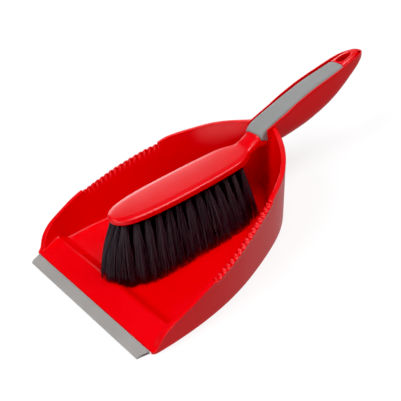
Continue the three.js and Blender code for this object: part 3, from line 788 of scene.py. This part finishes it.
def build_tuft(t, index, count):
    """One bundle of crimped filaments, each a thin three-sided tube."""
    rng = np.random.default_rng(7100 + index)
    low = bl(t["y"])
    steps = 8
    P = np.zeros((count, steps, 3))
    # roots packed in the hole, tips spread over the tuft's share of the brush's foot
    rr, ra = np.sqrt(rng.random(count)) * (TUFT_R - 0.35), rng.random(count) * 2 * math.pi
    ux, uy = rr * np.cos(ra) / TUFT_R, rr * np.sin(ra) / TUFT_R
    root = np.stack([t["x"] + ux * TUFT_R, t["y"] + uy * TUFT_R, np.full(count, low + 1.2)], -1)
    square = rr / (TUFT_R - 0.35) / np.maximum(np.abs(np.cos(ra)), np.abs(np.sin(ra)))
    sx = np.clip(square * np.cos(ra) + rng.normal(0, 0.07, count), -1.03, 1.03)
    sy = np.clip(square * np.sin(ra) + rng.normal(0, 0.07, count), -1.03, 1.03)
    over = 1.0 if t["r"] in (0, 3) else 1.15
    tip_x, tip_y = t["tx"] + sx * t["hx"] * over, t["ty"] + sy * t["hy"] * 1.45
    # the brush's foot is rounded at its front and rear
    share = np.clip(np.abs(tip_x) / np.array([spread(y) for y in tip_y]), 0, 1.05)
    front = np.array([1 - smooth(44, 84, y) for y in tip_y])
    rear = np.array([smooth(172, 206, y) for y in tip_y])
    tip_y = tip_y + 12.0 * share ** 2 * front - 9.0 * share ** 2 * rear
    tip_z = np.array([tip_height(y) for y in tip_y]) + np.abs(rng.normal(0, 0.35, count)) + 0.2 * rng.random(count)
    straggle = rng.random(count) < 0.02
    tip_z = tip_z + straggle * rng.random(count) * 3.0
    tip = np.stack([tip_x, tip_y, tip_z], -1)
    phase, amp = rng.random((count, 2)) * 2 * math.pi, 0.16 + 0.22 * rng.random(count)
    side = rng.normal(0, 0.25, (count, 2))
    for k in range(steps):
        s = k / (steps - 1)
        flare = s + 0.10 * math.sin(math.pi * s)
        base = root * (1 - flare)[None] if False else root + (tip - root) * np.array([flare, flare, s])
        wig = amp * math.sin(math.pi * min(1, s * 1.3)) if s < 0.77 else amp
        base[:, 0] += wig * np.sin(phase[:, 0] + s * 7.0) + side[:, 0] * s * s
        base[:, 1] += wig * np.sin(phase[:, 1] + s * 6.2) + side[:, 1] * s * s
        P[:, k] = base
    radius = 0.20 + 0.06 * rng.random(count)
    verts, faces = [], []
    V = np.zeros((count, steps, 3, 3))
    spin = rng.random(count) * 2 * math.pi
    for k in range(steps):
        s = k / (steps - 1)
        rad = radius * (1.0 if s < 0.9 else 0.72)
        for c in range(3):
            a = spin + c * 2 * math.pi / 3
            V[:, k, c, 0] = P[:, k, 0] + np.cos(a) * rad
            V[:, k, c, 1] = P[:, k, 1] + np.sin(a) * rad
            V[:, k, c, 2] = P[:, k, 2]
    verts = V.reshape(-1, 3)
    for i in range(count):
        o = i * steps * 3
        for k in range(steps - 1):
            for c in range(3):
                a, b = o + k * 3 + c, o + k * 3 + (c + 1) % 3
                faces.append((a, a + 3, b + 3, b))
        faces.append((o, o + 1, o + 2))
        e = o + (steps - 1) * 3
        faces.append((e + 2, e + 1, e))
    name = "bristles_%02d_%s" % (t["c"] + 1, "abcd"[t["r"]])
    obj = make_object(name, verts, faces)
    for p in obj.data.polygons:
        p.use_smooth = True
    return obj


# ------------------------------------------------------------------- materials
def new_material(name):
    m = bpy.data.materials.new(name)
    m.use_nodes = True
    nt = m.node_tree
    return m, nt, nt.nodes["Principled BSDF"]


def node(nt, kind, **inputs):
    n = nt.nodes.new(kind)
    for k, v in inputs.items():
        if hasattr(n, k):
            setattr(n, k, v)
        else:
            n.inputs[k.replace("_", " ")].default_value = v
    return n


def noise(nt, scale, detail=4.0, rough=0.5, coord=None, stretch=None):
    n = nt.nodes.new("ShaderNodeTexNoise")
    n.inputs["Scale"].default_value = scale
    n.inputs["Detail"].default_value = detail
    n.inputs["Roughness"].default_value = rough
    if coord is not None:
        src = coord
        if stretch:
            mp = nt.nodes.new("ShaderNodeMapping")
            mp.inputs["Scale"].default_value = stretch
            nt.links.new(coord, mp.inputs["Vector"])
            src = mp.outputs["Vector"]
        nt.links.new(src, n.inputs["Vector"])
    return n


def ramp(nt, fac, a, b, lo=0.0, hi=1.0):
    r = nt.nodes.new("ShaderNodeValToRGB")
    r.color_ramp.elements[0].position, r.color_ramp.elements[1].position = lo, hi
    r.color_ramp.elements[0].color, r.color_ramp.elements[1].color = a, b
    nt.links.new(fac, r.inputs["Fac"])
    return r


def value_range(nt, fac, lo, hi):
    r = nt.nodes.new("ShaderNodeMapRange")
    r.inputs["From Min"].default_value, r.inputs["From Max"].default_value = 0.3, 0.7
    r.inputs["To Min"].default_value, r.inputs["To Max"].default_value = lo, hi
    nt.links.new(fac, r.inputs["Value"])
    return r


def moulded(name, dark, light, rough=(0.30, 0.38), grain=900.0, grain_strength=0.05, spec=0.4, wave=0.04):
    """Moulded plastic: a faint mottle in the colour, a fine sparked grain and slow waves in the gloss."""
    m, nt, bsdf = new_material(name)
    co = nt.nodes.new("ShaderNodeTexCoord").outputs["Object"]
    n1 = noise(nt, 14.0, 3.0, 0.5, co)
    nt.links.new(ramp(nt, n1.outputs["Fac"], dark, light, 0.35, 0.65).outputs["Color"], bsdf.inputs["Base Color"])
    n2 = noise(nt, 60.0, 5.0, 0.6, co)
    nt.links.new(value_range(nt, n2.outputs["Fac"], *rough).outputs["Result"], bsdf.inputs["Roughness"])
    fine = noise(nt, grain, 2.0, 0.5, co)
    slow = noise(nt, 26.0, 2.0, 0.4, co)
    b1 = nt.nodes.new("ShaderNodeBump")
    b1.inputs["Strength"].default_value = wave
    b1.inputs["Distance"].default_value = 0.002
    nt.links.new(slow.outputs["Fac"], b1.inputs["Height"])
    b2 = nt.nodes.new("ShaderNodeBump")
    b2.inputs["Strength"].default_value = grain_strength
    b2.inputs["Distance"].default_value = 0.0004
    nt.links.new(fine.outputs["Fac"], b2.inputs["Height"])
    nt.links.new(b1.outputs["Normal"], b2.inputs["Normal"])
    nt.links.new(b2.outputs["Normal"], bsdf.inputs["Normal"])
    bsdf.inputs["Specular IOR Level"].default_value = spec
    return m


def bristle_material():
    m, nt, bsdf = new_material("bristle_fibre")
    geo = nt.nodes.new("ShaderNodeNewGeometry")
    per = ramp(nt, geo.outputs["Random Per Island"], (0.012, 0.006, 0.010, 1), (0.060, 0.034, 0.046, 1), 0.0, 1.0)
    co = nt.nodes.new("ShaderNodeTexCoord").outputs["Object"]
    sep = nt.nodes.new("ShaderNodeSeparateXYZ")
    nt.links.new(co, sep.inputs["Vector"])
    tip = nt.nodes.new("ShaderNodeMapRange")
    tip.inputs["From Min"].default_value, tip.inputs["From Max"].default_value = 0.012, 0.004
    tip.inputs["To Min"].default_value, tip.inputs["To Max"].default_value = 0.0, 0.55
    nt.links.new(sep.outputs["Z"], tip.inputs["Value"])
    mix = nt.nodes.new("ShaderNodeMix")
    mix.data_type = "RGBA"
    mix.inputs["B"].default_value = (0.16, 0.135, 0.13, 1)
    nt.links.new(tip.outputs["Result"], mix.inputs["Factor"])
    nt.links.new(per.outputs["Color"], mix.inputs["A"])
    nt.links.new(mix.outputs["Result"], bsdf.inputs["Base Color"])
    fine = noise(nt, 2500.0, 1.0, 0.5, co, (1, 1, 0.05))
    nt.links.new(value_range(nt, fine.outputs["Fac"], 0.42, 0.58).outputs["Result"], bsdf.inputs["Roughness"])
    bsdf.inputs["Specular IOR Level"].default_value = 0.55
    return m


RED_A, RED_B = (0.73, 0.0010, 0.0035, 1), (0.77, 0.0020, 0.0055, 1)
pan_mat = moulded("pan_plastic", RED_A, RED_B, (0.27, 0.33), 700.0, 0.02, 0.22, 0.015)
brush_mat = moulded("brush_plastic", (0.73, 0.0010, 0.005, 1), (0.77, 0.0020, 0.007, 1), (0.22, 0.27), 700.0, 0.02, 0.36, 0.02)
lip_mat = moulded("lip_rubber", (0.30, 0.285, 0.275, 1), (0.34, 0.325, 0.315, 1), (0.42, 0.52), 1600.0, 0.12, 0.45, 0.03)
grip_mat = moulded("grip_rubber", (0.245, 0.25, 0.248, 1), (0.275, 0.28, 0.277, 1), (0.50, 0.60), 1800.0, 0.22, 0.35, 0.03)
fibre_mat = bristle_material()


def dress(obj, mat, body, slot, *nodes):
    obj.data.materials.clear()
    obj.data.materials.append(mat)
    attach(obj, body)
    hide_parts(*nodes)
    return obj


dress(build_pan(), pan_mat, "pan", "pan_plastic", "dustpan")
dress(build_lip(), lip_mat, "pan", "lip_rubber", "rubber_lip")
dress(build_brush_body(), brush_mat, "brush", "brush_plastic", "brush_block")
dress(build_grip(), grip_mat, "brush", "grip_rubber", "soft_grip")
for index, spec in enumerate(tuft_specs()):
    tuft = build_tuft(spec, index, 170)
    dress(tuft, fibre_mat, "brush", "bristle", "tuft_%02d_%s" % (spec["c"] + 1, "abcd"[spec["r"]]))

# ---------------------------------------------------------------------- studio
bpy.ops.mesh.primitive_plane_add(size=60.0, location=(0, 0, -0.0004))
ground = bpy.context.object
ground.name = "studio_floor"
gm, gnt, gb = new_material("studio_white")
gb.inputs["Base Color"].default_value = (0.24, 0.24, 0.24, 1)
gb.inputs["Roughness"].default_value = 0.9
gb.inputs["Specular IOR Level"].default_value = 0.0
gb.inputs["Emission Color"].default_value = (1, 1, 1, 1)
gb.inputs["Emission Strength"].default_value = 0.76
ground.data.materials.append(gm)
# the white floor is seen, but the object's lower side takes its light from the dome, which is dimmer there
ground.visible_diffuse = ground.visible_glossy = ground.visible_shadow = False

# a dim dome with soft panels of light: direction, angle where it fades out, angle where it is full, radiance
PANELS = [((0.22, 0.36, 0.905), 22, 13, 6.5), ((-0.16, -0.64, 0.75), 18, 10, 6.5), ((-0.88, 0.43, 0.12), 20, 12, 2.6),
          ((0.60, -0.20, 0.77), 32, 15, 0.6), ((-0.695, 0.50, 0.50), 25, 8, 0.35), ((0.33, -0.93, 0.08), 24, 14, 3.2),
          ((0.0, 0.0, -1.0), 92, 70, 0.42)]
AMBIENT = 0.12
world = bpy.data.worlds.new("studio")
bpy.context.scene.world = world
world.use_nodes = True
wn = world.node_tree
bg = wn.nodes["Background"]
bg.inputs["Color"].default_value = (1, 1, 1, 1)
way = wn.nodes.new("ShaderNodeTexCoord")
total = None
for direction, out_deg, in_deg, radiance in PANELS:
    dot = wn.nodes.new("ShaderNodeVectorMath")
    dot.operation = "DOT_PRODUCT"
    dot.inputs[1].default_value = Vector(direction).normalized()
    wn.links.new(way.outputs["Generated"], dot.inputs[0])
    fade = wn.nodes.new("ShaderNodeMapRange")
    fade.interpolation_type = "SMOOTHSTEP"
    fade.inputs["From Min"].default_value = math.cos(math.radians(out_deg))
    fade.inputs["From Max"].default_value = math.cos(math.radians(in_deg))
    fade.inputs["To Min"].default_value, fade.inputs["To Max"].default_value = 0.0, radiance
    wn.links.new(dot.outputs["Value"], fade.inputs["Value"])
    add = wn.nodes.new("ShaderNodeMath")
    add.operation = "ADD"
    add.inputs[1].default_value = AMBIENT
    wn.links.new(fade.outputs["Result"], add.inputs[0])
    if total is not None:
        wn.links.new(total, add.inputs[1])
    total = add.outputs[0]
wn.links.new(total, bg.inputs["Strength"])


cam_data = bpy.data.cameras.new("camera")
cam = bpy.data.objects.new("camera", cam_data)
bpy.context.scene.collection.objects.link(cam)
right, up_v, fwd = (0.62354, 0.76061, -0.18076), (-0.35751, 0.48303, 0.7993), (-0.69526, 0.43377, -0.57311)
rot = Matrix((right, up_v, [-c for c in fwd])).transposed()
cam.matrix_world = Matrix.Translation((0.50909, -0.15533 + SHIFT_Y * MM, 0.45022)) @ rot.to_4x4()
cam_data.sensor_width = 36.0
cam_data.lens = 700.0 / 401.0 * 36.0
cam_data.clip_start, cam_data.clip_end = 0.01, 50
bpy.context.scene.camera = cam
view = bpy.context.scene.view_settings
view.view_transform = "Standard"
view.use_curve_mapping = True
view.curve_mapping.black_level = (0.006, 0.006, 0.006)
view.curve_mapping.update()
